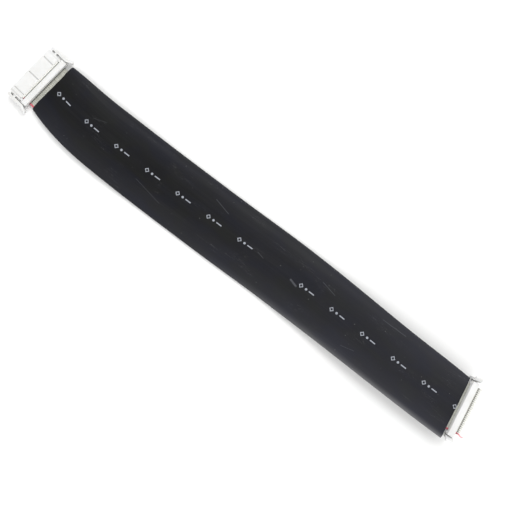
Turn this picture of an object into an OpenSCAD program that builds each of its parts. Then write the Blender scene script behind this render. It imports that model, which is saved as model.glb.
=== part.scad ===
// Flat ribbon cable in a lay-flat sleeve, with a white 2 x 13 socket connector at each end.
// Millimetres. X runs along the cable, Y across it, Z up from the surface that it lies on.
// The left connector lies on its broad side and its sockets face away from the cable. The right
// one stands on its socket face. The ribbon folds under the left cover, runs through the sleeve,
// rises to the right connector and passes through it, with its trimmed ends sticking out.

/* [Ribbon] */
// Number of conductors, an even number
wires = 26; // [20:2:26]
// Distance from one conductor to the next
pitch = 1.0; // [0.95:0.01:1.0]
// Diameter of the insulation round each conductor
lobe_d = 0.8; // [0.7:0.02:0.8]
// Thickness of the web between the conductors
web_t = 0.45; // [0.3:0.05:0.55]
// Diameter of each conductor
core_d = 0.32; // [0.2:0.02:0.32]
// Length of the trimmed ends beyond the right connector
stub_l = 2.2; // [1:0.2:4]

/* [Route] */
// Turn of the cable behind the left connector, seen from above
left_turn = 6.5; // [0:0.5:9]
// Turn of the cable before the right connector, seen from above
right_turn = 11.4; // [0:0.2:12]
// Height of the ribbon's middle behind the left connector
left_rise = 2.6; // [2.2:0.1:3.4]
// Length of the straight stretch that lies flat
flat_run = 55.5; // [40:1:120]

/* [Sleeve] */
// Width of the sleeve where it lies flat
sleeve_w = 35.5; // [33.5:0.1:37]
// Wall of the sleeve
sleeve_wall = 0.45; // [0.35:0.05:0.5]
// Thickness of the sleeve where it lies flat
sleeve_t = 2.2; // [2.1:0.1:3]
// Ribbon left bare between the left cover and the sleeve
bare_l = 3.1; // [2:0.1:6]
// How much narrower the sleeve has shrunk at its left end
left_neck = 5.7; // [2:0.1:6]
// How much narrower the sleeve has shrunk at its right end
right_neck = 1.8; // [0:0.1:3]

/* [Connectors] */
// Length of the connector body
body_l = 28.6; // [28.2:0.1:29]
// Thickness of the connector body
body_w = 5.9; // [5.8:0.1:6.4]
// Depth of the body from its socket face to the ribbon
body_h = 7.2; // [7:0.1:8]
// Depth of the cover behind the ribbon
cover_h = 3.1; // [2.6:0.1:3.6]
// Reach of the latch arms behind the cover
arm_back = 2.0; // [1:0.1:3]
// Width of the latch arms
arm_w = 3.8; // [3:0.1:4.4]

/* [Hidden] */
$fn = 32;

slot = lobe_d + 0.04;            // gap between body and cover that grips the ribbon
fold_r = 0.9;                    // radius of the ribbon's middle where it folds under the cover
fold_up = 10;                    // slope at which the ribbon leaves the fold
fold_z = 1.6;                    // fold centre, from the middle of the connector
y_top = slot / 2;                // cover's face on the ribbon
y_back = lobe_d / 2 + cover_h;   // cover's back
y_mate = -lobe_d / 2 - body_h;   // socket face
rows = 1.0;                      // each row of sockets from the middle
n_row = wires / 2;

level = sleeve_t / 2;            // ribbon's middle where the cable lies flat
slot_z = body_h + lobe_d / 2;    // ribbon's middle in the standing connector
down_r = 300;
up_r = 400;
soft_r = 60;
left_yaw_r = 220;
right_yaw_r = 120;
down_a = acos(1 - (left_rise - level) / (2 * down_r));
up_a = acos(1 - (slot_z - level) / (2 * up_r));
fold_low = body_w / 2 - fold_z - fold_r * cos(fold_up);
slope_l = (left_rise - fold_low - soft_r * (1 - cos(fold_up))) / sin(fold_up);
gap = 0.3;                       // between the sleeve's right end and the connector

// The route: [0, length] is straight, [1, radius, angle, side] is an arc. Side 0 bends up, 180 down,
// -90 and 90 to the two sides.
route = [
    [0, body_w / 2 + fold_z],
    [1, fold_r, 90 + fold_up, 0],
    [0, slope_l],
    [1, soft_r, fold_up, 180],
    [1, left_yaw_r, left_turn, -90],
    [1, down_r, down_a, 180],
    [1, down_r, down_a, 0],
    [0, flat_run],
    [1, up_r, up_a, 0],
    [1, up_r, up_a, 180],
    [1, right_yaw_r, right_turn, -90],
    [0, gap + body_w]
];
start = [-134.854, 1.755, body_w];

function span_of(s) = s[0] == 0 ? s[1] : s[1] * s[2] * PI / 180;
function shift(v) = [[1, 0, 0, v[0]], [0, 1, 0, v[1]], [0, 0, 1, v[2]], [0, 0, 0, 1]];
function turn_z(a) = [[cos(a), -sin(a), 0, 0], [sin(a), cos(a), 0, 0], [0, 0, 1, 0], [0, 0, 0, 1]];
function turn_x(a) = [[1, 0, 0, 0], [0, cos(a), -sin(a), 0], [0, sin(a), cos(a), 0], [0, 0, 0, 1]];
function along(s, l) = s[0] == 0 ? shift([0, 0, l])
    : turn_z(s[3]) * shift([0, s[1], 0]) * turn_x(-l / s[1] * 180 / PI) * shift([0, -s[1], 0]) * turn_z(-s[3]);
function frame_in(l, i) = i >= len(route) - 1 || l <= span_of(route[i]) ? along(route[i], l)
    : along(route[i], span_of(route[i])) * frame_in(l - span_of(route[i]), i + 1);
function length_to(n) = n <= 0 ? 0 : span_of(route[n - 1]) + length_to(n - 1);

// Where the ribbon starts: it heads down through the slot of the left connector
first = shift(start) * [[sin(left_turn), cos(left_turn), 0, 0],
                        [cos(left_turn), -sin(left_turn), 0, 0],
                        [0, 0, -1, 0],
                        [0, 0, 0, 1]];
function frame_at(l) = first * frame_in(l, 0);
function point(m, p) = [for (r = [0:2]) m[r][0] * p[0] + m[r][1] * p[1] + m[r][2] * p[2] + m[r][3]];

whole = length_to(len(route));
left_mid = body_w / 2;           // middle of the left connector, along the route
right_mid = whole - body_w / 2;  // middle of the right one

// ---------------------------------------------------------------- ribbon
function wire_x(i) = (i - (wires - 1) / 2) * pitch;

// A closed tube through the rings, each a list of as many points, wound as the first one is
module skin(rings) {
    n = len(rings[0]);
    last = len(rings) - 1;
    polyhedron(points = [for (r = rings) each r], faces = concat(
        [[for (j = [0:n - 1]) j]],
        [for (k = [0:last - 1]) for (j = [0:n - 1]) let (a = k * n + j, b = k * n + (j + 1) % n)
            each [[a, a + n, b], [b, a + n, b + n]]],
        [[for (j = [n - 1:-1:0]) last * n + j]]));
}

// Where the rings lie along the route, closer together where it bends more
function steps(s) = s[0] == 0 ? 1 : s[2] > 60 ? 5 : max(s[1] > 350 ? 3 : 2, ceil(s[2] / 3.8));
stations = [for (i = [0:len(route) - 1]) for (j = [0:steps(route[i]) - 1])
    length_to(i) + span_of(route[i]) * j / steps(route[i])];
function ring_of(m, outline) = [for (p = outline) point(m, [p[0], p[1], 0])];
// The flat cable's outline with its two edges, and the room for one conductor
function band(x0, x1) = [[x0 + 0.12, -lobe_d / 2], [x1 - 0.12, -lobe_d / 2], [x1, -web_t / 2], [x1, web_t / 2],
    [x1 - 0.12, lobe_d / 2], [x0 + 0.12, lobe_d / 2], [x0, web_t / 2], [x0, -web_t / 2]];
function strand(x, d) = [[x, -d / 2], [x + d / 2, 0], [x, d / 2], [x - d / 2, 0]];
function tube(r, n) = [for (j = [0:n - 1]) [r * cos(360 * (j + 0.5) / n), r * sin(360 * (j + 0.5) / n)]];

module follow(outline, far) { skin([for (l = concat(stations, [far])) ring_of(frame_at(l), outline)]); }

// The first wire has come away from the others at the trimmed end and curls outwards
tail_start = [wire_x(0), 0, -0.5];
tail_dirs = [0, 0, 14, 26, 26, 8, -4, -4];
tail_step = [0.9, 0.45, 0.6, 0.6, 0.6, 0.6, 0.7];
function tail_point(k) = k == 0 ? tail_start
    : tail_point(k - 1) + tail_step[k - 1] * [-sin(tail_dirs[k]), 0, cos(tail_dirs[k])];
function tail_ring(outline, k, more) = let (a = tail_dirs[k], m = frame_at(whole) * shift(tail_point(k)))
    [for (q = outline) point(m, [q[0] * cos(a) - more * sin(a), q[1], q[0] * sin(a) + more * cos(a)])];
function tail_rings(outline, more) = [for (k = [0:len(tail_step)]) tail_ring(outline, k, k == len(tail_step) ? more : 0)];

module forks_room(mid) {
    multmatrix(frame_at(mid)) for (row = [-1, 1]) for (k = [0:n_row - 1])
        translate([wire_x(2 * k + (row + 1) / 2), 0, row * rows]) hull()
            translate([-0.41, -0.7, -0.12]) cube([0.82, 1.4, 0.24]);
}

// One conductor, or with more room and a longer end the bore that it lies in
module strands(d, more) {
    for (i = [1:wires - 1]) skin([for (l = concat(more > 0 ? [-more] : [], stations, [whole, whole + stub_l + more]))
        ring_of(l < 0 ? first * shift([0, 0, l]) : l > whole ? frame_at(whole) * shift([0, 0, l - whole])
            : frame_at(l), strand(wire_x(i), d))]);
    skin(concat(
        [for (l = concat(more > 0 ? [-more] : [], stations)) ring_of(l < 0 ? first * shift([0, 0, l]) : frame_at(l), strand(wire_x(0), d))],
        tail_rings(strand(0, d), more)));
}

module ribbon_insulation() {
    color([0.67, 0.67, 0.62]) difference() {
        union() {
            follow(band(wire_x(0) - lobe_d / 2, wire_x(wires - 1) + lobe_d / 2), whole);
            skin([for (l = [-0.5, stub_l]) ring_of(frame_at(whole) * shift([0, 0, l]),
                band(wire_x(1) - lobe_d / 2 + 0.05, wire_x(wires - 1) + lobe_d / 2 - 0.05))]);
            skin(tail_rings(tube(lobe_d / 2, 10), 0));
        }
        strands(core_d + 0.02, 0.1);
        forks_room(left_mid);
        forks_room(right_mid);
    }
}

module conductors() { color([0.80, 0.55, 0.35]) strands(core_d, 0); }

// ---------------------------------------------------------------- sleeve
sleeve_from = body_w / 2 + fold_z + fold_r * (90 + fold_up) * PI / 180 + 2.55 + bare_l;
sleeve_to = whole - body_w - gap;
sleeve_l = sleeve_to - sleeve_from;
rings = 44;
round_n = 24;

function ease(t) = t <= 0 ? 0 : t >= 1 ? 1 : t * t * (3 - 2 * t);
// Rings lie closer together towards both ends
function ring_at(k) = sleeve_l * (0.72 * k / rings + 0.28 * (1 - cos(180 * k / rings)) / 2);
function half_w(l) = sleeve_w / 2 - left_neck / 2 * exp(-l / 18) - right_neck / 2 * ease((l - 150) / 80);
function half_t(l) = sleeve_t / 2 + 0.35 * exp(-l / 9) + 0.65 * exp(-(sleeve_l - l) / 8);
function aside(l) = 0.9 * exp(-l / 30) + 1.3 * ease((l - 50) / 110) - 0.75 * ease((l - 170) / 60)
    - pow(max(0, l - (sleeve_l - span_of(route[10]))), 2) / (2 * right_yaw_r);
function power(v, e) = sign(v) * pow(abs(v), e);
function section(l, wall) = [for (j = [0:round_n - 1]) let (a = 360 * (j + 0.5) / round_n)
    [aside(l) + (half_w(l) - wall) * power(cos(a), 0.4), (half_t(l) - wall) * power(sin(a), 0.5)]];

module heat_shrink_sleeve() {
    outer = [for (k = [0:rings]) let (l = ring_at(k), m = frame_at(sleeve_from + l))
        for (p = section(l, 0)) point(m, [p[0], p[1], 0])];
    inner = [for (k = [0:rings]) let (l = ring_at(k), m = frame_at(sleeve_from + l))
        for (p = section(l, sleeve_wall)) point(m, [p[0], p[1], 0])];
    n = (rings + 1) * round_n;
    faces = concat(
        [for (k = [0:rings - 1]) for (j = [0:round_n - 1]) let (a = k * round_n + j, b = k * round_n + (j + 1) % round_n)
            each [[a, a + round_n, b], [b, a + round_n, b + round_n]]],
        [for (k = [0:rings - 1]) for (j = [0:round_n - 1]) let (a = n + k * round_n + j, b = n + k * round_n + (j + 1) % round_n)
            each [[b, a + round_n, a], [b + round_n, a + round_n, b]]],
        [for (j = [0:round_n - 1]) let (a = j, b = (j + 1) % round_n) each [[a, b, n + a], [n + a, b, n + b]]],
        [for (j = [0:round_n - 1]) let (a = rings * round_n + j, b = rings * round_n + (j + 1) % round_n)
            each [[n + a, b, a], [n + b, b, n + a]]]);
    color([0.18, 0.18, 0.20]) polyhedron(points = concat(outer, inner), faces = faces);
}

// ---------------------------------------------------------------- connectors
// Both are drawn round the ribbon: X along the row, Y from the sockets to the cover, Z through the slot
fork_reach = 0.36;
cell = 0.9;
arm_in = body_l / 2 + 1.1;
arm_out = arm_in + 1.3;
arm_end = y_back + arm_back;

module latch_arm() {
    translate([0, 0, -arm_w / 2]) linear_extrude(arm_w) union() {
        polygon([[arm_in - 0.6, y_mate + 0.75], [arm_in, y_mate + 0.1], [arm_out - 0.4, y_mate], [arm_out, y_mate + 0.5],
            [arm_out, y_back - 1.6], [arm_out + 1.2, arm_end - 0.35], [arm_out + 0.2, arm_end - 0.1],
            [arm_in, y_back - 1.2], [arm_in, y_mate + 1.7], [arm_in - 0.6, y_mate + 1.3]]);
        translate([arm_out + 0.7, arm_end - 0.4]) circle(r = 0.5);
        translate([body_l / 2 - 0.2, y_mate + 3.2]) square([arm_in - body_l / 2 + 0.4, 1.2]);
        translate([body_l / 2 - 0.2, y_mate + 2.9]) square([0.5, 1.8]);
    }
    // grip ribs on the flared back end
    for (k = [0:2]) translate([arm_out + 0.28 + 0.36 * k, y_back - 0.85 + 0.95 * k, -arm_w / 2 + 0.3])
        cylinder(r = 0.2, h = arm_w - 0.6);
}

module socket_body() {
    difference() {
        union() {
            translate([-body_l / 2 + 1.2, y_mate, -body_w / 2]) cube([body_l - 2.4, -y_top - y_mate, body_w]);
            translate([-body_l / 2, y_mate, -body_w / 2 + 0.6]) cube([body_l, -y_top - y_mate, body_w - 1.2]);
            // catches for the cover's legs
            for (side = [-1, 1]) translate([side * body_l / 2 - (side > 0 ? 0.1 : 0.35), -2.2, -0.7]) cube([0.45, 1.1, 1.4]);
            latch_arm();
            mirror([1, 0, 0]) latch_arm();
        }
        // keying grooves on one broad side
        for (x = [9.8, -0.7, -11.2]) translate([x - 0.3, y_mate + 0.7, -body_w / 2 - 0.1]) cube([0.6, -y_mate, 0.55]);
        for (row = [-1, 1]) for (k = [0:n_row - 1]) {
            c = (k - (n_row - 1) / 2) * 2 * pitch;
            f = wire_x(2 * k + (row + 1) / 2);
            translate([c - cell / 2, y_mate + 0.5, row * rows - cell / 2]) cube([cell, body_h - 2.1, cell]);
            translate([c - 0.36, y_mate - 0.1, row * rows - 0.36]) cube([0.72, 0.8, 0.72]);
            translate([c, y_mate - 0.01, row * rows]) rotate([-90, 0, 0]) cylinder(r1 = 0.66, r2 = 0.36, h = 0.32);
            translate([min(c, f) - 0.44, -2.15, row * rows - 0.14]) cube([abs(f - c) + 0.88, 2.2, 0.28]);
        }
    }
}

// The cover's section: flat on the ribbon, rounded where the ribbon folds, narrower at the back
module cover_section() {
    r = fold_r - slot / 2 - 0.02;
    tx = y_top + r + r * sin(fold_up);
    tz = fold_z + r * cos(fold_up);
    bz = tz - (y_back - tx) * tan(fold_up);
    polygon([[y_top, -fold_z], [y_top, fold_z], [y_top + r, fold_z], [tx, tz], [y_back - 0.25, bz + 0.04], [y_back, bz - 0.2],
        [y_back, -bz + 0.2], [y_back - 0.25, -bz - 0.04], [tx, -tz], [y_top + r, -fold_z]]);
    for (side = [-1, 1]) translate([y_top + r, side * fold_z]) circle(r = r);
}

module socket_cover() {
    l = body_l + 1.2;
    multmatrix([[0, 0, 1, -l / 2], [1, 0, 0, 0], [0, 1, 0, 0], [0, 0, 0, 1]]) linear_extrude(l) cover_section();
    // blocks that close the slot beyond the ribbon's two edges
    for (side = [-1, 1]) translate([side > 0 ? wire_x(wires - 1) + lobe_d / 2 + 0.1 : -body_l / 2 + 0.1, -y_top + 0.02, -2.4])
        cube([body_l / 2 - 0.2 - wire_x(wires - 1) - lobe_d / 2, 2 * y_top + 0.3, 4.8]);
    // legs that clip over the catches on the body
    for (side = [-1, 1]) difference() {
        translate([side * (body_l / 2 + 0.05) - (side > 0 ? 0 : 0.55), -2.9, -1.3]) cube([0.55, 2.9 + y_top + 0.3, 2.6]);
        translate([side * (body_l / 2 + 0.3) - 0.5, -2.25, -0.75]) cube([1, 1.2, 1.5]);
    }
}

// One row of forked contacts; each straddles one conductor and has two springs for a pin
module contact_row(row) {
    for (k = [0:n_row - 1]) {
        c = (k - (n_row - 1) / 2) * 2 * pitch;
        f = wire_x(2 * k + (row + 1) / 2);
        translate([0, 0, row * rows]) {
            for (side = [-1, 1]) translate([f + side * 0.285 - 0.115, -1.0, -0.1]) cube([0.23, 1.0 + fork_reach, 0.2]);
            translate([min(c, f) - 0.4, -1.5, -0.1]) cube([abs(f - c) + 0.8, 0.7, 0.2]);
            translate([c - 0.3, -3.2, -0.1]) cube([0.6, 1.9, 0.2]);
            translate([c - 0.3, -3.4, -0.4]) cube([0.6, 0.25, 0.8]);
            for (side = [-1, 1]) translate([c - 0.3, y_mate + 0.75, side * 0.31 - 0.09]) cube([0.6, -3.2 - y_mate - 0.75, 0.18]);
            for (side = [-1, 1]) translate([c - 0.3, y_mate + 1.3, side * 0.25]) rotate([0, 90, 0]) cylinder(r = 0.14, h = 0.6, $fn = 16);
        }
    }
}

module at_left() { multmatrix(frame_at(left_mid)) children(); }
module at_right() { multmatrix(frame_at(right_mid)) rotate([0, 180, 0]) children(); }

module left_socket_body() { color([0.95, 0.95, 0.94]) at_left() socket_body(); }
module left_cover() { color([0.93, 0.93, 0.92]) at_left() socket_cover(); }
module left_contacts_outer_row() { color([0.85, 0.75, 0.45]) at_left() contact_row(-1); }
module left_contacts_inner_row() { color([0.85, 0.75, 0.45]) at_left() contact_row(1); }
module right_socket_body() { color([0.95, 0.95, 0.94]) at_right() socket_body(); }
module right_cover() { color([0.93, 0.93, 0.92]) at_right() socket_cover(); }
module right_contacts_outer_row() { color([0.85, 0.75, 0.45]) at_right() contact_row(-1); }
module right_contacts_inner_row() { color([0.85, 0.75, 0.45]) at_right() contact_row(1); }

heat_shrink_sleeve();
ribbon_insulation();
conductors();
left_socket_body();
left_cover();
left_contacts_outer_row();
left_contacts_inner_row();
right_socket_body();
right_cover();
right_contacts_outer_row();
right_contacts_inner_row();
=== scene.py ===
# Flat ribbon cable in a lay-flat sleeve, with a white socket connector at each end.
# Lengths in this script are in millimetres until mesh_piece() turns them into metres.
import bpy
import bmesh
import math
import random
import numpy as np
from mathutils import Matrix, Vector


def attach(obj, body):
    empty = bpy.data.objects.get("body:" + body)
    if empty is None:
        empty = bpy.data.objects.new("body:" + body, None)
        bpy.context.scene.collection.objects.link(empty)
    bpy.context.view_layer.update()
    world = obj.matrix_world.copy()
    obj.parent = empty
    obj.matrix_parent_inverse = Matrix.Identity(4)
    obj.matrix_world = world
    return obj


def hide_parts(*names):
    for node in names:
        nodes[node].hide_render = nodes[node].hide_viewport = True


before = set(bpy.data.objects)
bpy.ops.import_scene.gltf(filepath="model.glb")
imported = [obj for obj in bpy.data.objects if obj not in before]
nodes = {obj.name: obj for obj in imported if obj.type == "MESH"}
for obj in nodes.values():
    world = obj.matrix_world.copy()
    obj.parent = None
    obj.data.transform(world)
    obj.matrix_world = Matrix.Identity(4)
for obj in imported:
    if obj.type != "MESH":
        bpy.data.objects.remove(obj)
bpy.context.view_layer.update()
rng = random.Random(26)
KEY, FILL, SKY = 2.0, 1.5, 1.15      # light

# ------------------------------------------------------------------ sizes and route, as in part.scad
WIRES, PITCH, LOBE, WEB, CORE, STUB = 26, 1.0, 0.8, 0.45, 0.32, 2.2
LEFT_TURN, RIGHT_TURN, LEFT_RISE, FLAT_RUN = 6.5, 11.4, 2.6, 55.5
SLEEVE_W, WALL, SLEEVE_T, BARE, LEFT_NECK, RIGHT_NECK = 35.5, 0.45, 2.2, 3.1, 5.7, 1.8
BODY_L, BODY_W, BODY_H, COVER_H = 28.6, 5.9, 7.2, 3.1
LEVEL = SLEEVE_T / 2
SLOT_Z = BODY_H + LOBE / 2
FOLD_R, FOLD_UP, FOLD_Z, GAP = 0.9, 10.0, 1.6, 0.3
START = (-134.854, 1.755, BODY_W)


def cosd(a): return math.cos(math.radians(a))
def sind(a): return math.sin(math.radians(a))


DOWN_A = math.degrees(math.acos(1 - (LEFT_RISE - LEVEL) / 600))
UP_A = math.degrees(math.acos(1 - (SLOT_Z - LEVEL) / 800))
FOLD_LOW = BODY_W / 2 - FOLD_Z - FOLD_R * cosd(FOLD_UP)
SLOPE_L = (LEFT_RISE - FOLD_LOW - 60 * (1 - cosd(FOLD_UP))) / sind(FOLD_UP)
ROUTE = [("line", BODY_W / 2 + FOLD_Z), ("arc", FOLD_R, 90 + FOLD_UP, 0), ("line", SLOPE_L),
         ("arc", 60, FOLD_UP, 180), ("arc", 220, LEFT_TURN, -90), ("arc", 300, DOWN_A, 180), ("arc", 300, DOWN_A, 0),
         ("line", FLAT_RUN), ("arc", 400, UP_A, 0), ("arc", 400, UP_A, 180), ("arc", 120, RIGHT_TURN, -90),
         ("line", GAP + BODY_W)]


def span_of(s): return s[1] if s[0] == "line" else s[1] * math.radians(s[2])


def shift(x, y, z):
    m = np.eye(4)
    m[:3, 3] = (x, y, z)
    return m


def turn_z(a): return np.array([[cosd(a), -sind(a), 0, 0], [sind(a), cosd(a), 0, 0], [0, 0, 1, 0], [0, 0, 0, 1]])
def turn_x(a): return np.array([[1, 0, 0, 0], [0, cosd(a), -sind(a), 0], [0, sind(a), cosd(a), 0], [0, 0, 0, 1]])


def along(s, l):
    if s[0] == "line":
        return shift(0, 0, l)
    return turn_z(s[3]) @ shift(0, s[1], 0) @ turn_x(-math.degrees(l / s[1])) @ shift(0, -s[1], 0) @ turn_z(-s[3])


FIRST = shift(*START) @ np.array([[sind(LEFT_TURN), cosd(LEFT_TURN), 0, 0], [cosd(LEFT_TURN), -sind(LEFT_TURN), 0, 0],
                                  [0, 0, -1, 0], [0, 0, 0, 1]])
WHOLE = sum(span_of(s) for s in ROUTE)


def frame_at(l):
    """The chain frame at length l: x across the cable, y its normal, z its heading."""
    m = FIRST
    for i, s in enumerate(ROUTE):
        if i == len(ROUTE) - 1 or l <= span_of(s):
            return m @ along(s, l)
        m = m @ along(s, span_of(s))
        l -= span_of(s)


def wire_x(i): return (i - (WIRES - 1) / 2) * PITCH
def ease(t): return 0.0 if t <= 0 else 1.0 if t >= 1 else t * t * (3 - 2 * t)


# ------------------------------------------------------------------ camera, as the photograph was taken
MID_X, MID_Y, HIGH, WIDE, ROLL = 5.19, -1.66, 500.0, 260.6, 37.8
cam_data = bpy.data.cameras.new("camera")
cam_data.sensor_width = 36
cam_data.lens = 36 * HIGH / WIDE
cam_data.clip_start, cam_data.clip_end = 0.01, 20
cam = bpy.data.objects.new("camera", cam_data)
cam.location = (MID_X / 1000, MID_Y / 1000, HIGH / 1000)
cam.rotation_euler = (0, 0, math.radians(ROLL))
bpy.context.scene.collection.objects.link(cam)
bpy.context.scene.camera = cam


# ------------------------------------------------------------------ helpers
def mesh_piece(name, verts, faces, materials=(), face_mats=None, coords=None, smooth=40):
    me = bpy.data.meshes.new(name)
    me.from_pydata([tuple(float(c) / 1000 for c in v) for v in verts], [], [tuple(f) for f in faces])
    for m in materials:
        me.materials.append(m)
    if face_mats is not None:
        me.polygons.foreach_set("material_index", np.array(face_mats, dtype=np.int32))
    if coords is not None:      # across, along and height on the piece, in millimetres
        a = me.attributes.new("lay", "FLOAT_VECTOR", "POINT")
        a.data.foreach_set("vector", np.array(coords, dtype=np.float32).ravel())
    me.validate()
    ob = bpy.data.objects.new(name, me)
    bpy.context.scene.collection.objects.link(ob)
    finish_mesh(ob, smooth)
    return ob


def finish_mesh(ob, smooth):
    """Outward normals, and smooth faces with edges sharper than the given angle left crisp."""
    bm = bmesh.new()
    bm.from_mesh(ob.data)
    bmesh.ops.recalc_face_normals(bm, faces=bm.faces)
    limit = math.radians(smooth)
    for f in bm.faces:
        f.smooth = True
    for e in bm.edges:
        e.smooth = len(e.link_faces) == 2 and e.calc_face_angle(0) < limit
    bm.to_mesh(ob.data)
    bm.free()


def point(m, x, y, z=0.0):
    return m[:3, 0] * x + m[:3, 1] * y + m[:3, 2] * z + m[:3, 3]


def loft(rings, first_cap=True, last_cap=True, base=0):
    """Faces of a tube through rings of n points each, wound outwards."""
    n = len(rings[0])
    faces = []
    for k in range(len(rings) - 1):
        for j in range(n):
            a, b = base + k * n + j, base + k * n + (j + 1) % n
            faces.append((a, b, b + n, a + n))
    if first_cap:
        faces.append([base + j for j in range(n - 1, -1, -1)])
    if last_cap:
        faces.append([base + (len(rings) - 1) * n + j for j in range(n)])
    return faces


# ------------------------------------------------------------------ materials
def material(name):
    m = bpy.data.materials.new(name)
    m.use_nodes = True
    m.node_tree.nodes.clear()
    return m, m.node_tree


def node(tree, kind, x=0, y=0, **values):
    n = tree.nodes.new(kind)
    n.location = (x, y)
    for k, v in values.items():
        setattr(n, k, v)
    return n


def plug(tree, a, b):
    tree.links.new(a, b)


def number(tree, op, a, b=None, c=None, clamp=False):
    n = tree.nodes.new("ShaderNodeMath")
    n.operation, n.use_clamp = op, clamp
    for i, v in enumerate((a, b, c)):
        if v is None:
            continue
        if isinstance(v, (int, float)):
            n.inputs[i].default_value = v
        else:
            tree.links.new(v, n.inputs[i])
    return n.outputs[0]


def noise(tree, where, scale, detail=4.0, rough=0.55, distortion=0.0):
    n = tree.nodes.new("ShaderNodeTexNoise")
    n.inputs["Scale"].default_value = scale
    n.inputs["Detail"].default_value = detail
    n.inputs["Roughness"].default_value = rough
    n.inputs["Distortion"].default_value = distortion
    tree.links.new(where, n.inputs["Vector"])
    return n.outputs["Fac"]


def stretch(tree, where, scale):
    n = tree.nodes.new("ShaderNodeMapping")
    n.inputs["Scale"].default_value = scale
    tree.links.new(where, n.inputs["Vector"])
    return n.outputs[0]


def ramp(tree, value, stops):
    n = tree.nodes.new("ShaderNodeValToRGB")
    els = n.color_ramp.elements
    while len(els) < len(stops):
        els.new(0.5)
    for e, (pos, colour) in zip(els, stops):
        e.position = pos
        e.color = (*colour, 1) if len(colour) == 3 else colour
    tree.links.new(value, n.inputs["Fac"])
    return n.outputs["Color"]


def span(tree, value, lo, hi, a=0.0, b=1.0):
    n = tree.nodes.new("ShaderNodeMapRange")
    n.inputs["From Min"].default_value, n.inputs["From Max"].default_value = lo, hi
    n.inputs["To Min"].default_value, n.inputs["To Max"].default_value = a, b
    tree.links.new(value, n.inputs["Value"])
    return n.outputs["Result"]


def blend(tree, fac, a, b, mode="MIX"):
    n = tree.nodes.new("ShaderNodeMix")
    n.data_type, n.blend_type = "RGBA", mode
    for v, s in ((fac, n.inputs[0]), (a, n.inputs[6]), (b, n.inputs[7])):
        if isinstance(v, (int, float)):
            s.default_value = v
        elif isinstance(v, tuple):
            s.default_value = (*v, 1)
        else:
            tree.links.new(v, s)
    return n.outputs[2]


def bump(tree, height, strength, distance, under=None):
    n = tree.nodes.new("ShaderNodeBump")
    n.inputs["Strength"].default_value = strength
    n.inputs["Distance"].default_value = distance
    tree.links.new(height, n.inputs["Height"])
    if under is not None:
        tree.links.new(under, n.inputs["Normal"])
    return n.outputs["Normal"]


def surface(tree, **inputs):
    """The shader: numbers and colours are set on its sockets, textures are linked to them."""
    b = tree.nodes.new("ShaderNodeBsdfPrincipled")
    out = tree.nodes.new("ShaderNodeOutputMaterial")
    tree.links.new(b.outputs[0], out.inputs["Surface"])
    for k, v in inputs.items():
        s = b.inputs[k.replace("_", " ")]
        if isinstance(v, (int, float)):
            s.default_value = v
        elif isinstance(v, tuple):
            s.default_value = (*v, 1) if len(v) == 3 and s.type == "RGBA" else v
        else:
            tree.links.new(v, s)
    return b


def objects(tree):
    """Places on the piece, in metres in the row frame."""
    return tree.nodes.new("ShaderNodeTexCoord").outputs["Object"]


def lay(tree):
    """Across, along and height on the sleeve or ribbon, in millimetres."""
    n = tree.nodes.new("ShaderNodeAttribute")
    n.attribute_type, n.attribute_name = "GEOMETRY", "lay"
    s = tree.nodes.new("ShaderNodeSeparateXYZ")
    tree.links.new(n.outputs["Vector"], s.inputs[0])
    return n.outputs["Vector"], s.outputs[0], s.outputs[1], s.outputs[2]


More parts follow.
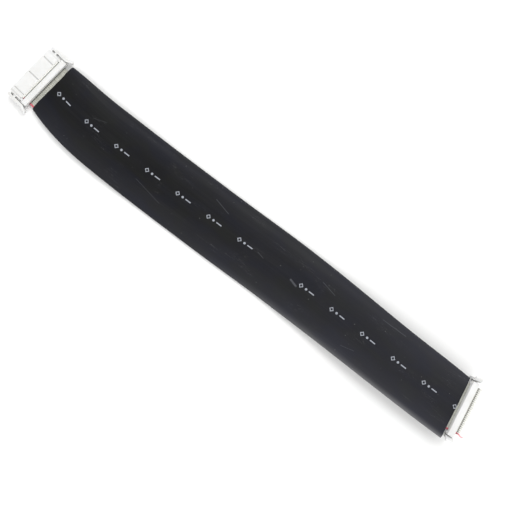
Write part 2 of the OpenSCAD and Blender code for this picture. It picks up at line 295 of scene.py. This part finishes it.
def sleeve_material():
    m, t = material("sleeve_polyolefin")
    where, across, length, up = lay(t)
    # broad cloudy tone, with faint olive and blue patches
    cloud = noise(t, stretch(t, where, (0.06, 0.035, 0.06)), 1.0, 3, 0.55)
    base = ramp(t, cloud, [(0.30, (0.0034, 0.0035, 0.0042)), (0.55, (0.0052, 0.0053, 0.0062)), (0.75, (0.0082, 0.0083, 0.0094))])
    tint = noise(t, stretch(t, where, (0.11, 0.05, 0.1)), 1.0, 2, 0.5, 0.6)
    hue = ramp(t, tint, [(0.33, (0.0064, 0.0070, 0.0050)), (0.5, (0.0052, 0.0053, 0.0066)), (0.66, (0.0044, 0.0052, 0.0098))])
    base = blend(t, 0.55, base, hue)
    # paler, dulled towards the two folded edges and along the second half
    pale = number(t, "ADD", span(t, length, 70, 235, 0, 0.5),
                  span(t, number(t, "ABSOLUTE", across), 4.5, 15.5, 0, 0.42), clamp=True)
    base = blend(t, pale, base, (0.0188, 0.0191, 0.0242), "ADD")
    # extrusion lines and rub marks along the sleeve
    lines = noise(t, stretch(t, where, (3.2, 0.018, 3.0)), 1.0, 3, 0.6)
    base = blend(t, number(t, "MULTIPLY", span(t, lines, 0.5, 0.75), 0.35), base, (0.026, 0.0265, 0.028))
    # fine scratches: thin, long, broken up
    angle = t.nodes.new("ShaderNodeMapping")
    angle.inputs["Rotation"].default_value = (0, 0, math.radians(14))
    angle.inputs["Scale"].default_value = (1.6, 0.045, 1)
    plug(t, where, angle.inputs["Vector"])
    hair = noise(t, angle.outputs[0], 1.0, 2, 0.5, 0.15)
    hair = number(t, "SUBTRACT", 1.0, span(t, number(t, "ABSOLUTE", number(t, "SUBTRACT", hair, 0.5)), 0.0, 0.006), clamp=True)
    gate = span(t, noise(t, stretch(t, where, (0.16, 0.05, 1)), 1.0, 2, 0.5), 0.56, 0.66)
    scratch = number(t, "MULTIPLY", hair, gate, clamp=True)
    base = blend(t, number(t, "MULTIPLY", scratch, 0.5), base, (0.14, 0.14, 0.145))
    # a few separate rubs and scratches: from (across, along) to (across, along), half width, strength
    worn = noise(t, where, 3.1, 4, 0.7)
    for a0, l0, a1, l1, wide, strong in SCRATCHES:
        da, dl = a1 - a0, l1 - l0
        size2 = da * da + dl * dl
        va, vl = number(t, "SUBTRACT", across, a0), number(t, "SUBTRACT", length, l0)
        h = number(t, "DIVIDE", number(t, "ADD", number(t, "MULTIPLY", va, da), number(t, "MULTIPLY", vl, dl)), size2, clamp=True)
        ra = number(t, "SUBTRACT", va, number(t, "MULTIPLY", h, da))
        rl = number(t, "SUBTRACT", vl, number(t, "MULTIPLY", h, dl))
        off = number(t, "SQRT", number(t, "ADD", number(t, "MULTIPLY", ra, ra), number(t, "MULTIPLY", rl, rl)))
        hit = number(t, "MULTIPLY", span(t, off, wide * 0.3, wide, 1.0, 0.0), span(t, worn, 0.34, 0.5))
        base = blend(t, number(t, "MULTIPLY", number(t, "MULTIPLY", hit, number(t, "GREATER_THAN", up, 0.0)), strong), base, (0.20, 0.21, 0.235))
    # dust specks
    v = t.nodes.new("ShaderNodeTexVoronoi")
    v.inputs["Scale"].default_value = 0.42
    plug(t, where, v.inputs["Vector"])
    pick = t.nodes.new("ShaderNodeSeparateColor")
    plug(t, v.outputs["Color"], pick.inputs[0])
    size = number(t, "MULTIPLY", pick.outputs[1], 0.09)
    speck = number(t, "MULTIPLY", number(t, "LESS_THAN", v.outputs["Distance"], size),
                   number(t, "GREATER_THAN", pick.outputs[0], 0.62))
    base = blend(t, number(t, "MULTIPLY", speck, 0.26), base, (0.30, 0.30, 0.29))
    # generic marks: a small diamond, dot and dash, repeated and worn
    run = number(t, "SUBTRACT", length, MARK_FROM)
    local = number(t, "MODULO", run, MARK_STEP)
    off = number(t, "SUBTRACT", across, MARK_ASIDE)
    high = number(t, "ABSOLUTE", off)

    def far_from(centre): return number(t, "ABSOLUTE", number(t, "SUBTRACT", local, centre))
    ring = number(t, "COMPARE", number(t, "ADD", far_from(2.0), high), 1.05, 0.27)
    dot = number(t, "LESS_THAN", number(t, "SQRT", number(t, "ADD", number(t, "POWER", far_from(5.2), 2.0), number(t, "POWER", high, 2.0))), 0.62)
    bar = number(t, "MULTIPLY", number(t, "LESS_THAN", far_from(8.6), 1.6), number(t, "LESS_THAN", high, 0.28))
    shape = number(t, "MAXIMUM", ring, number(t, "MAXIMUM", dot, bar))
    shown = number(t, "MULTIPLY", number(t, "LESS_THAN", number(t, "MODULO", run, MARK_STEP * 8), MARK_STEP * 7), number(t, "GREATER_THAN", up, 0.0))
    wear = span(t, noise(t, where, 1.9, 4, 0.65), 0.28, 0.44)
    mark = number(t, "MULTIPLY", number(t, "MULTIPLY", shape, shown), number(t, "MULTIPLY", wear, number(t, "GREATER_THAN", run, 0.0)), clamp=True)
    base = blend(t, number(t, "MULTIPLY", mark, 0.85), base, (0.34, 0.36, 0.40))
    # painted sheen, with some edge wear: the lower rounded edge drawn lighter, more so towards the right end
    rim = number(t, "MULTIPLY", span(t, number(t, "MULTIPLY", across, -1.0), 13.8, 17.2), span(t, length, 95.0, 235.0), clamp=True)
    rim = number(t, "MULTIPLY", number(t, "POWER", rim, 1.4), span(t, noise(t, stretch(t, where, (0.5, 0.05, 0.5)), 1.0, 3, 0.6), 0.25, 0.6, 0.65, 1.0))
    base = blend(t, number(t, "MULTIPLY", rim, 0.75), base, (0.19, 0.19, 0.195))
    rough = span(t, noise(t, stretch(t, where, (0.35, 0.09, 0.3)), 1.0, 4, 0.6), 0.3, 0.7, 0.40, 0.54)
    rough = number(t, "ADD", rough, number(t, "MULTIPLY", speck, 0.2))
    n1 = bump(t, noise(t, where, 2.6, 4, 0.6), 0.22, 0.00006)
    n2 = bump(t, lines, 0.24, 0.00007, n1)
    n3 = bump(t, number(t, "MULTIPLY", scratch, -1.0), 0.3, 0.00003, n2)
    surface(t, Base_Color=base, Roughness=rough, Specular_IOR_Level=0.12, Normal=n3)
    return m


def pvc_material(name, light, mid, dark, tip):
    m, t = material(name)
    where, across, length, up = lay(t)
    n = noise(t, stretch(t, where, (0.9, 0.12, 0.9)), 1.0, 4, 0.6)
    base = ramp(t, n, [(0.3, dark), (0.5, mid), (0.72, light)])
    # each wire a little different, and painted shade in the valleys between them
    wire = t.nodes.new("ShaderNodeTexWhiteNoise")
    wire.noise_dimensions = "1D"
    plug(t, number(t, "FLOOR", number(t, "ADD", across, 0.0)), wire.inputs["W"])
    base = blend(t, span(t, wire.outputs["Value"], 0, 1, 0.0, 0.16), base, dark)
    # painted shade: darker along the valley between each pair of wires
    valley = number(t, "ABSOLUTE", number(t, "SUBTRACT", number(t, "FRACT", across), 0.5))
    base = blend(t, number(t, "MULTIPLY", span(t, valley, 0.38, 0.5), 0.45), base, tuple(c * 0.65 for c in dark))
    # paler towards the trimmed stub tips, and the cut face at the left end painted lighter than the shade it sits in;
    # painted shade on the ribbon where it leaves each cover
    base = blend(t, span(t, length, WHOLE + 0.35, WHOLE + 1.7, 0, 0.8), base, tip)
    # painted highlight: the left cut face, deep in its slot, drawn paler than its shade
    base = blend(t, span(t, length, 0.6, 0.2, 0, 0.7), base, tip)
    # painted shade: the dark line on the ribbon under and just beside each cover's edge
    left = number(t, "MULTIPLY", span(t, length, 9.2, 8.85), span(t, length, 6.4, 6.9))
    right = number(t, "MULTIPLY", span(t, length, WHOLE - 0.4, WHOLE), span(t, length, WHOLE + 0.55, WHOLE + 0.25))
    base = blend(t, number(t, "MULTIPLY", number(t, "MAXIMUM", left, right), 0.88), base, tuple(c * 0.22 for c in dark))
    fine = noise(t, where, 6.0, 3, 0.6)
    rough = span(t, fine, 0.3, 0.7, 0.38, 0.52)
    surface(t, Base_Color=base, Roughness=rough, Specular_IOR_Level=0.45, Subsurface_Weight=0.12,
            Subsurface_Radius=(0.4, 0.35, 0.3), Subsurface_Scale=0.0006, Normal=bump(t, fine, 0.25, 0.00003))
    return m


def plastic_material():
    m, t = material("white_moulded_plastic")
    where = objects(t)
    cloud = noise(t, where, 120, 3, 0.5)
    base = ramp(t, cloud, [(0.3, (0.635, 0.635, 0.622)), (0.55, (0.675, 0.676, 0.670)), (0.75, (0.71, 0.711, 0.709))])
    # flow marks from moulding, and light handling grime
    flow = noise(t, stretch(t, where, (900, 160, 500)), 1.0, 3, 0.55, 0.5)
    base = blend(t, number(t, "MULTIPLY", span(t, flow, 0.55, 0.8), 0.25), base, (0.60, 0.60, 0.59))
    grime = span(t, noise(t, where, 420, 5, 0.7), 0.60, 0.78)
    base = blend(t, number(t, "MULTIPLY", grime, 0.18), base, (0.46, 0.44, 0.40))
    grain = noise(t, where, 5200, 3, 0.6)
    rough = span(t, noise(t, where, 900, 3, 0.6), 0.3, 0.7, 0.30, 0.44)
    n1 = bump(t, grain, 0.18, 0.00002)
    n2 = bump(t, flow, 0.2, 0.00003, n1)
    surface(t, Base_Color=base, Roughness=rough, Specular_IOR_Level=0.5, Subsurface_Weight=0.15,
            Subsurface_Radius=(1.0, 0.9, 0.8), Subsurface_Scale=0.0008, Normal=n2)
    return m


def metal_material(name, light, dark, rough_lo, rough_hi, scale):
    m, t = material(name)
    where = objects(t)
    n = noise(t, where, scale, 4, 0.6)
    base = ramp(t, n, [(0.3, dark), (0.65, light)])
    rough = span(t, noise(t, where, scale * 2.3, 3, 0.6), 0.3, 0.7, rough_lo, rough_hi)
    brushed = noise(t, stretch(t, where, (9000, 9000, 900)), 1.0, 2, 0.5)
    surface(t, Base_Color=base, Metallic=1.0, Roughness=rough, Normal=bump(t, brushed, 0.2, 0.00001))
    return m


def floor_material():
    m, t = material("pale_floor")
    where = objects(t)
    base = ramp(t, noise(t, where, 6, 3, 0.5), [(0.3, (0.86, 0.86, 0.855)), (0.7, (0.88, 0.88, 0.875))])
    surface(t, Base_Color=base, Roughness=0.85, Specular_IOR_Level=0.2, Normal=bump(t, noise(t, where, 2500, 3, 0.6), 0.05, 0.0001))
    return m


# ------------------------------------------------------------------ sleeve
FOLD_SPAN = FOLD_R * math.radians(90 + FOLD_UP)
SLEEVE_FROM = BODY_W / 2 + FOLD_Z + FOLD_SPAN + 2.55 + BARE
SLEEVE_TO = WHOLE - BODY_W - GAP
SLEEVE_L = SLEEVE_TO - SLEEVE_FROM
YAW_SPAN = span_of(ROUTE[10])
MARK_FROM, MARK_STEP, MARK_ASIDE = 3.0, 19.6, 0.4
SCRATCHES = [(9.8, 101.0, 7.6, 110.2, 0.26, 0.19), (-0.5, 155.8, -1.5, 159.8, 0.7, 0.30), (8.6, 169.5, 6.9, 178.5, 0.20, 0.22),
             (0.8, 133.8, -0.2, 138.0, 0.22, 0.2), (-6.5, 62.0, -9.4, 79.0, 0.15, 0.18), (12.5, 205.0, 13.1, 219.0, 0.2, 0.2),
             (-11.0, 196.0, -9.0, 203.0, 0.16, 0.18), (3.9, 26.0, 6.6, 33.0, 0.15, 0.16)]


def half_w(l): return SLEEVE_W / 2 - LEFT_NECK / 2 * math.exp(-l / 18) - RIGHT_NECK / 2 * ease((l - 150) / 80)


def aside(l):
    return (0.9 * math.exp(-l / 30) + 0.45 * math.exp(-l / 25) + 1.3 * ease((l - 50) / 110) - 0.75 * ease((l - 170) / 60)
            + 0.5 * ease((l - 110) / 45)
            - max(0.0, l - (SLEEVE_L - YAW_SPAN)) ** 2 / 240)


def wave(l, x):
    """Soft unevenness of the shrunk sleeve, in millimetres."""
    return (0.10 * math.sin(l / 17 + 0.8 * math.sin(x / 6 + 1)) * math.cos(x / 7.5 + 0.4)
            + 0.07 * math.sin(l / 7.3 + x / 4.1 + 2.1) + 0.05 * math.sin(l / 3.9 - x / 5.7)
            + 0.05 * math.cos(x / 1.9 + 0.4 * math.sin(l / 23)))


def section(l, wall):
    """Outline of the sleeve at length l from its left mouth, in the chain frame's x and y, with the ribbon inside it."""
    w, mid = half_w(l), aside(l)
    mouth = math.exp(-l / 7)                       # opened a little at both mouths
    far = math.exp(-(SLEEVE_L - l) / 7)
    core = 13.5
    centre_h = 1.08 + 0.30 * mouth + 0.45 * far
    flap_h = 0.84 + 0.40 * mouth
    roll = ease((l - 95) / 120)                    # the lower edge stays rounder towards the right
    low_h = flap_h + 0.75 * roll + 0.35 * far
    top_h = flap_h + 0.25 * far
    pts = []
    for side in (1, -1):
        for j in range(SIDE_N):
            t = math.pi * j / SIDE_N
            u = math.cos(t) * side
            x = u * (w - wall)
            edge = low_h if u < 0 else top_h
            re = (1.15 + (2.3 * roll if u < 0 else 0.25 * far)) * (1 - 0.25 * wall)
            b = ease((abs(x) + 1.5 - core) / 4.2)
            h = (centre_h * (1 - b) + edge * b) - wall
            out = abs(x) - (w - wall - re)
            h *= math.sqrt(max(0.0, 1 - (out / re) ** 2)) if out > 0 else 1
            drop = -(centre_h - edge) * 0.45 * b if l < 200 else -(centre_h - edge) * 0.25 * b
            y = drop + side * h
            if side > 0:
                y += 0.7 * wave(l, x) * (1 - 0.5 * b)
            else:
                y += 0.3 * (wave(l, x) + 0.27) * (1 - b)
            pts.append((x + mid, y, x))
    return pts


SIDE_N = 64
rings_l = [0.0, 0.12, 0.3]
while rings_l[-1] < SLEEVE_L - 1.6:
    rings_l.append(rings_l[-1] + 1.35)
rings_l = [min(l, SLEEVE_L - 0.4) for l in rings_l] + [SLEEVE_L - 0.12, SLEEVE_L]


def lip(l, x):
    """The two cut ends are not quite straight."""
    if l < 0.01:
        return 0.10 * math.sin(x / 3.3 + 0.7) + 0.05 * math.sin(x / 1.1)
    if l > SLEEVE_L - 0.01:
        return 0.08 * math.sin(x / 4.1 + 2.0) + 0.04 * math.sin(x / 1.3) - 0.1
    return 0.0


def sleeve_piece():
    verts, coords, faces = [], [], []
    n = 2 * SIDE_N
    for wall in (0.0, WALL):
        for l in rings_l:
            shrink = 0.10 if wall == 0.0 and (l < 0.01 or l > SLEEVE_L - 0.01) else 0.0
            for i, (x, y, u) in enumerate(section(l, wall + shrink)):
                m = frame_cache(SLEEVE_FROM + l + lip(l, x))
                verts.append(point(m, x, y))
                coords.append((u, l, (1 if i < SIDE_N else -1) * (1 if wall == 0.0 else -2)))
    rows = len(rings_l)
    for k in range(rows - 1):
        for j in range(n):
            a, b = k * n + j, k * n + (j + 1) % n
            faces.append((a, b, b + n, a + n))
            c, d = rows * n + a, rows * n + b
            faces.append((d, c, c + n, d + n))
    for j in range(n):
        a, b = j, (j + 1) % n
        faces.append((b, a, rows * n + a, rows * n + b))
        a, b = a + (rows - 1) * n, b + (rows - 1) * n
        faces.append((a, b, rows * n + b, rows * n + a))
    return mesh_piece("sleeve", verts, faces, [sleeve_material()], coords=coords, smooth=50)


_frames = {}


def frame_cache(l):
    key = round(l, 2)
    if key not in _frames:
        _frames[key] = frame_at(key)
    return _frames[key]


# ------------------------------------------------------------------ ribbon
def ribbon_outline(first, last, arc=7):
    """Lobes first..last with the webs between them, counter-clockwise from the last lobe's right side."""
    half_web = math.degrees(math.asin(WEB / 2 / (LOBE / 2) * 0.92))
    top = []
    for i in range(last, first - 1, -1):
        a0 = -90 if i == last else half_web
        a1 = 270 if i == first else 180 - half_web
        lo = 0 if i == last else a0
        hi = 180 if i == first else a1
        for k in range(arc):
            a = lo + (hi - lo) * k / (arc - 1)
            top.append((wire_x(i) + LOBE / 2 * cosd(a), LOBE / 2 * sind(a), i))
    low = [(x, -y, i) for x, y, i in reversed(top)]
    return top + low[1:-1]


def ribbon_stations():
    out = [0.0]
    start = 0.0
    for s in ROUTE:
        span = span_of(s)
        if s[0] == "arc" and s[2] > 60:
            n = 14
        elif start < 26 or start + span > WHOLE - 8:
            n = max(2, math.ceil(span / 1.1))
        else:
            n = max(2, math.ceil(span / 3.2))
        out += [start + span * (k + 1) / n for k in range(n)]
        start += span
    return out


TAIL_DIRS = [0, 0, 14, 26, 26, 8, -4, -4]
TAIL_STEP = [0.9, 0.45, 0.6, 0.6, 0.6, 0.6, 0.7]


def tail_line():
    p = np.array([wire_x(0), 0.0, -0.5])
    pts = [p]
    for k, step in enumerate(TAIL_STEP):
        a = TAIL_DIRS[k]
        p = p + step * np.array([-sind(a), 0, cosd(a)])
        pts.append(p)
    return pts


def smooth_line(pts, per=4):
    """A Catmull-Rom curve through the points."""
    out = []
    q = [2 * pts[0] - pts[1]] + list(pts) + [2 * pts[-1] - pts[-2]]
    for i in range(1, len(q) - 2):
        for k in range(per):
            t = k / per
            out.append(0.5 * ((2 * q[i]) + (q[i + 1] - q[i - 1]) * t + (2 * q[i - 1] - 5 * q[i] + 4 * q[i + 1] - q[i + 2]) * t * t
                              + (3 * q[i] - q[i - 1] - 3 * q[i + 1] + q[i + 2]) * t ** 3))
    out.append(pts[-1])
    return out


def tube_rings(line, radius, n, turn=0.0):
    """Rings round a line in the x-z plane of the chain frame; the plane's normal is y."""
    rings = []
    for i, p in enumerate(line):
        a = line[max(0, i - 1)]
        b = line[min(len(line) - 1, i + 1)]
        d = (b - a) / np.linalg.norm(b - a)
        side = np.cross(np.array([0, 1.0, 0]), d)
        side /= np.linalg.norm(side)
        up = np.cross(d, side)
        r = radius(i) if callable(radius) else radius
        rings.append([p + r * (math.cos(t) * side + math.sin(t) * up) for t in
                      [turn + 2 * math.pi * k / n for k in range(n)]])
    return rings


def ribbon_piece():
    verts, faces, mats, coords = [], [], [], []
    outline = ribbon_outline(0, WIRES - 1)
    n = len(outline)
    stations = ribbon_stations()
    for l in stations:
        m = frame_at(l)
        pressed = max(1 - ease((l - 5.2) / 1.6), ease((l - (WHOLE - BODY_W + 0.1)) / 0.5))
        for x, y, i in outline:
            y = math.copysign(max(abs(y), 0.37 * pressed), y) if abs(y) > 1e-6 and 0.02 < abs(x) < wire_x(WIRES - 1) + 0.25 else y
            verts.append(point(m, x, y))
            coords.append((x + WIRES / 2, l, y))
    for k in range(len(stations) - 1):
        for j in range(n):
            a, b = k * n + j, k * n + (j + 1) % n
            faces.append((a, b, b + n, a + n))
            mats.append(1 if outline[j][2] == 0 or outline[(j + 1) % n][2] == 0 else 0)
    faces.append([j for j in range(n - 1, -1, -1)])
    mats.append(0)
    faces.append([(len(stations) - 1) * n + j for j in range(n)])
    mats.append(0)
    end = frame_at(WHOLE)
    # the trimmed ends: each wire's insulation on its own, cut a little unevenly
    for i in range(1, WIRES):
        base = len(verts)
        length = STUB_LENGTHS[i]
        lean = STUB_LEANS[i]
        line = [np.array([wire_x(i) + lean * max(0, z) ** 1.5, 0.0, z]) for z in (-0.4, 0.1, 0.5, length * 0.6, length - 0.08, length)]
        rings = tube_rings(line, lambda q: 0.355 if q == 5 else 0.395, 14)
        for r_i, r in enumerate(rings):
            for p in r:
                verts.append(point(end, *p))
                coords.append((p[0] + WIRES / 2, WHOLE + p[2], p[1]))
        f = loft(rings, base=base)
        faces += f
        mats += [0] * len(f)
    base = len(verts)
    line = smooth_line(tail_line())
    rings = tube_rings(line, lambda q: 0.36 if q == len(line) - 1 else 0.4, 16)
    for r in rings:
        for p in r:
            verts.append(point(end, *p))
            coords.append((p[0] + WIRES / 2, WHOLE + p[2], p[1]))
    f = loft(rings, base=base)
    faces += f
    mats += [1] * len(f)
    grey = pvc_material("grey_pvc", (0.54, 0.54, 0.485), (0.47, 0.47, 0.42), (0.385, 0.385, 0.34), (0.84, 0.84, 0.80))
    red = pvc_material("red_pvc", (0.66, 0.17, 0.20), (0.56, 0.11, 0.14), (0.42, 0.07, 0.09), (0.80, 0.40, 0.42))
    ob = mesh_piece("ribbon", verts, faces, [grey, red], face_mats=mats, coords=coords, smooth=60)
    return ob, [list(frame_at(l)[:3, 3] / 1000) for l in stations]


STUB_LENGTHS = [STUB * rng.uniform(0.72, 0.98) for _ in range(WIRES)]
STUB_LEANS = [rng.uniform(-0.03, 0.03) for _ in range(WIRES)]


def conductors_piece():
    """Seven-strand conductors: a smooth core inside the ribbon and bare twisted ends."""
    verts, faces = [], []
    stations = ribbon_stations()
    n = 10
    first = frame_at(0)
    end = frame_at(WHOLE)
    mats = [frame_at(l) for l in stations]
    r = CORE / 2 - 0.005
    circle = [(r * math.cos(2 * math.pi * k / n), r * math.sin(2 * math.pi * k / n)) for k in range(n)]
    for i in range(WIRES):
        base = len(verts)
        rows = [[point(m, wire_x(i) + cx, cy) for cx, cy in circle] for m in mats]
        if i:
            z1 = STUB_LENGTHS[i] - 0.25
            lean = STUB_LEANS[i]
            for z in (0.5, z1 * 0.6, z1):
                rows.append([point(end, wire_x(i) + cx + lean * z ** 1.5, cy, z) for cx, cy in circle])
            tip = [np.array([wire_x(i) + lean * z ** 1.5, 0.0, z]) for z in (z1 - 0.05, z1 + 0.1, STUB_LENGTHS[i] + 0.03)]
        else:
            line = smooth_line(tail_line())
            tr = tube_rings(line[2:-2], r, n, math.pi)
            rows += [[point(end, *p) for p in ring] for ring in tr]
            tip = [line[-3], line[-2], line[-1] + 0.03 * (line[-1] - line[-2]) / np.linalg.norm(line[-1] - line[-2])]
        for row in rows:
            verts += row
        faces += loft(rows, base=base)
        # the seven strands that show at the cut
        for s in range(7):
            ox, oy = (0.0, 0.0) if s == 6 else (0.105 * math.cos(s * math.pi / 3 + i), 0.105 * math.sin(s * math.pi / 3 + i))
            base = len(verts)
            rings = tube_rings(tip + [tip[-1] + 0.0001 * (tip[-1] - tip[-2])], lambda q: 0.035 if q == 3 else 0.052, 8)
            for ring in rings:
                verts += [point(end, p[0] + ox, p[1] + oy, p[2]) for p in ring]
            faces += loft(rings, base=base)
    copper = metal_material("copper_strands", (0.88, 0.58, 0.42), (0.72, 0.42, 0.28), 0.28, 0.45, 2500)
    return mesh_piece("conductor_strands", verts, faces, [copper], smooth=50)


# ------------------------------------------------------------------ connectors: the CAD shapes with rounded edges
def rounded(name, source, materials, width):
    me = nodes[source].data.copy()
    me.name = name
    ob = bpy.data.objects.new(name, me)
    bpy.context.scene.collection.objects.link(ob)
    me.materials.clear()
    for m in materials:
        me.materials.append(m)
    bm = bmesh.new()
    bm.from_mesh(me)
    bmesh.ops.remove_doubles(bm, verts=bm.verts, dist=2e-6)
    bmesh.ops.dissolve_limit(bm, angle_limit=math.radians(0.6), verts=bm.verts, edges=bm.edges, delimit=set())
    for f in bm.faces:
        f.material_index = 0
    edges = [e for e in bm.edges if len(e.link_faces) == 2 and e.calc_face_angle(0) > math.radians(32)
             and e.calc_length() > 0.00012]
    bmesh.ops.bevel(bm, geom=edges, offset=width / 1000, offset_type="OFFSET", segments=2, profile=0.6,
                    affect="EDGES", clamp_overlap=True)
    bmesh.ops.recalc_face_normals(bm, faces=bm.faces)
    bm.to_mesh(me)
    bm.free()
    finish_mesh(ob, 28)
    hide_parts(source)
    return ob


def paint(ob, *materials):
    ob.data.materials.clear()
    for m in materials:
        ob.data.materials.append(m)


white = plastic_material()
gold = metal_material("gilt_contacts", (0.93, 0.74, 0.42), (0.80, 0.60, 0.30), 0.22, 0.4, 1800)

ribbon, line = ribbon_piece()
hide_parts("ribbon_insulation")
strands = conductors_piece()
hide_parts("conductors")
sleeve = sleeve_piece()
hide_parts("heat_shrink_sleeve")
made = [ribbon, strands, sleeve]
on_cord = [sleeve, strands]
for side in ("left", "right"):
    body = rounded(side + "_socket", side + "_socket_body", [white], 0.10)
    cover = rounded(side + "_pressed_cover", side + "_cover", [white], 0.14)
    made += [body, cover]
    if side == "right":
        on_cord += [body, cover]
    for row in ("outer", "inner"):
        paint(nodes[f"{side}_contacts_{row}_row"], gold)
        if side == "right":
            on_cord.append(nodes[f"{side}_contacts_{row}_row"])
for ob in made:
    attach(ob, "root")


# ------------------------------------------------------------------ floor and light
bm = bmesh.new()
bmesh.ops.create_grid(bm, x_segments=4, y_segments=4, size=12.0)
floor_mesh = bpy.data.meshes.new("floor")
bm.to_mesh(floor_mesh)
bm.free()
floor = bpy.data.objects.new("floor", floor_mesh)
floor.location = (0, 0, -0.00005)
floor_mesh.materials.append(floor_material())
bpy.context.scene.collection.objects.link(floor)


def soft_sun(name, place, spread, power):
    """A wide, soft light that falls evenly on the whole floor."""
    light = bpy.data.lights.new(name, "SUN")
    light.energy, light.angle = power, math.radians(spread)
    ob = bpy.data.objects.new(name, light)
    ob.location = place
    ob.rotation_euler = (-Vector(place)).to_track_quat("-Z", "Y").to_euler()
    bpy.context.scene.collection.objects.link(ob)
    return ob


up = Vector((-sind(ROLL), cosd(ROLL), 0))
right = Vector((cosd(ROLL), sind(ROLL), 0))
soft_sun("key", up * 0.75 + right * 0.5 + Vector((0, 0, 1.15)), 48, KEY)
soft_sun("fill", -up * 0.9 - right * 0.5 + Vector((0, 0, 1.0)), 80, FILL)
world = bpy.data.worlds.new("studio")
world.use_nodes = True
back = world.node_tree.nodes["Background"]
back.inputs["Color"].default_value = (1, 1, 1, 1)
wt = world.node_tree
way = wt.nodes.new("ShaderNodeSeparateXYZ")
plug(wt, wt.nodes.new("ShaderNodeTexCoord").outputs["Generated"], way.inputs[0])
plug(wt, span(wt, number(wt, "POWER", number(wt, "MAXIMUM", way.outputs[2], 0.0), 1.5), 0.15, 0.9, SKY, SKY * 0.16), back.inputs["Strength"])
bpy.context.scene.world = world
bpy.context.scene.view_settings.view_transform = "Standard"
